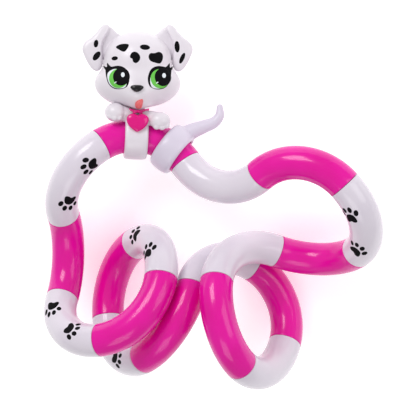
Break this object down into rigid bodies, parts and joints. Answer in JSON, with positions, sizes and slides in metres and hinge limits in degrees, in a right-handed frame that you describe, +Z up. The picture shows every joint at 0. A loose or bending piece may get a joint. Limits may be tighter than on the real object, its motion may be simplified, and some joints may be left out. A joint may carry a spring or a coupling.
{
  "type": "twist-and-turn loop toy",
  "caption": "Closed loop of quarter-circle tube links that swivel on each other, pink and white in turn, with a spotted puppy and its tail clipped on one link.",
  "frame": {"origin": "under the middle of the toy's box, on the surface it lies on", "axes": "+Z up, out of the surface the toy lies on; +Y towards the top of the puppy's head; +X to the right of someone who looks down at the puppy's face"},
  "size_m": [0.1142, 0.1192, 0.0502],
  "materials": {
    "pink_plastic": "glossy moulded pink plastic",
    "white_plastic": "glossy moulded white plastic with a faint lilac cast, printed paw marks",
    "puppy_white": "satin white plastic with printed spots and eyes",
    "collar_pink": "glossy deep pink",
    "black_plastic": "glossy black",
    "tongue_pink": "satin salmon pink"
  },
  "bodies": {
    "link_01": {"link_01": "pink_plastic"},
    "link_02": {"link_02": "white_plastic"},
    "link_03": {"link_03": "pink_plastic"},
    "link_04": {"link_04": "white_plastic"},
    "link_05": {"link_05": "pink_plastic"},
    "link_06": {"link_06": "white_plastic"},
    "link_07": {"link_07": "pink_plastic"},
    "link_08": {"link_08": "white_plastic"},
    "link_09": {"link_09": "pink_plastic"},
    "link_10": {"link_10": "white_plastic"},
    "link_11": {"link_11": "pink_plastic"},
    "link_12": {"link_12": "white_plastic"},
    "link_13": {"link_13": "pink_plastic"},
    "link_14": {"link_14": "white_plastic"},
    "link_15": {"link_15": "pink_plastic"},
    "link_16": {"link_16": "white_plastic"},
    "link_17": {"link_17": "pink_plastic"},
    "link_18": {"link_18": "white_plastic"},
    "puppy": {"puppy_clip": "puppy_white", "puppy_head_front": "puppy_white", "puppy_head_rear": "puppy_white", "puppy_nose": "black_plastic", "puppy_tongue": "tongue_pink", "puppy_collar": "collar_pink", "puppy_heart_tag": "collar_pink"},
    "tail_ring": {"tail": "puppy_white"}
  },
  "joints": [
    {"name": "swivel_12", "type": "hinge", "parent": "link_12", "child": "link_11", "pos_m": [-0.0224, -0.04823, 0.03328], "axis": [-0.6585, -0.5054, -0.5576], "range_deg": [0, 165]},
    {"name": "swivel_11", "type": "hinge", "parent": "link_11", "child": "link_10", "pos_m": [-0.00617, -0.02505, 0.02934], "axis": [-0.1447, -0.6421, 0.7529], "range_deg": [-70, 0]},
    {"name": "swivel_10", "type": "hinge", "parent": "link_10", "child": "link_09", "pos_m": [0.01166, -0.02373, 0.00706], "axis": [-0.7382, 0.5767, 0.3499], "range_deg": [0, 52]},
    {"name": "swivel_09", "type": "hinge", "parent": "link_09", "child": "link_08", "pos_m": [0.02298, -0.04885, 0.01461], "axis": [0.1779, 0.6668, -0.7237], "range_deg": [0, 165]},
    {"name": "swivel_08", "type": "hinge", "parent": "link_08", "child": "link_07", "pos_m": [0.01111, -0.0478, 0.04057], "axis": [0.4101, -0.7187, -0.5615], "range_deg": [0, 165]},
    {"name": "swivel_07", "type": "hinge", "parent": "link_07", "child": "link_06", "pos_m": [0.00321, -0.02071, 0.03611], "axis": [-0.019, -0.6222, 0.7826], "range_deg": [-5, 0]},
    {"name": "swivel_06", "type": "hinge", "parent": "link_06", "child": "link_05", "pos_m": [0.02076, -0.01667, 0.01393], "axis": [-0.8501, 0.4221, 0.315], "range_deg": [-76, 2]},
    {"name": "swivel_05", "type": "hinge", "parent": "link_05", "child": "link_04", "pos_m": [0.0483, -0.0145, 0.02121], "axis": [-0.5133, -0.5298, -0.6752], "range_deg": [0, 165]},
    {"name": "swivel_04", "type": "hinge", "parent": "link_04", "child": "link_03", "pos_m": [0.04517, 0.01116, 0.03337], "axis": [0.6682, -0.7404, 0.073], "range_deg": [-2, 2]},
    {"name": "swivel_13", "type": "hinge", "parent": "link_12", "child": "link_13", "pos_m": [-0.03837, -0.04214, 0.0104], "axis": [-0.1323, 0.8071, -0.5753], "range_deg": [-165, 0]},
    {"name": "swivel_14", "type": "hinge", "parent": "link_13", "child": "link_14", "pos_m": [-0.02781, -0.0156, 0.0101], "axis": [0.6551, 0.5068, 0.5603], "range_deg": [-66, 0]},
    {"name": "swivel_15", "type": "hinge", "parent": "link_14", "child": "link_15", "pos_m": [-0.01535, -0.01987, 0.03544], "axis": [-0.038, -0.7186, 0.6944], "range_deg": [-98, 0]},
    {"name": "swivel_16", "type": "hinge", "parent": "link_15", "child": "link_16", "pos_m": [-0.03495, -0.03892, 0.04374], "axis": [-0.9323, -0.2246, -0.2835], "range_deg": [0, 14]},
    {"name": "swivel_17", "type": "hinge", "parent": "link_16", "child": "link_17", "pos_m": [-0.05167, -0.03168, 0.02175], "axis": [0.1043, 0.5834, -0.8054], "range_deg": [0, 11]},
    {"name": "swivel_18", "type": "hinge", "parent": "link_17", "child": "link_18", "pos_m": [-0.05084, -0.00349, 0.0172], "axis": [-0.063, 0.8121, 0.5801], "range_deg": [-165, 0]},
    {"name": "swivel_01", "type": "hinge", "parent": "link_18", "child": "link_01", "pos_m": [-0.03643, 0.0211, 0.01916], "axis": [0.7763, 0.4052, -0.4829], "range_deg": [0, 165]},
    {"name": "swivel_02", "type": "hinge", "parent": "link_01", "child": "link_02", "pos_m": [-0.00888, 0.01429, 0.0159], "axis": [0.5877, -0.7424, 0.3217], "range_deg": [-2, 2]},
    {"name": "puppy_swivel", "type": "hinge", "parent": "link_01", "child": "puppy", "pos_m": [-0.02546, 0.0231, 0.01478], "axis": [0.9726, -0.0866, -0.2158], "range_deg": [-32, 16]},
    {"name": "tail_swivel", "type": "hinge", "parent": "link_01", "child": "tail_ring", "pos_m": [-0.01331, 0.01853, 0.01437], "axis": [0.7988, -0.5809, 0.1567], "range_deg": [-45, 45]}
  ]
}
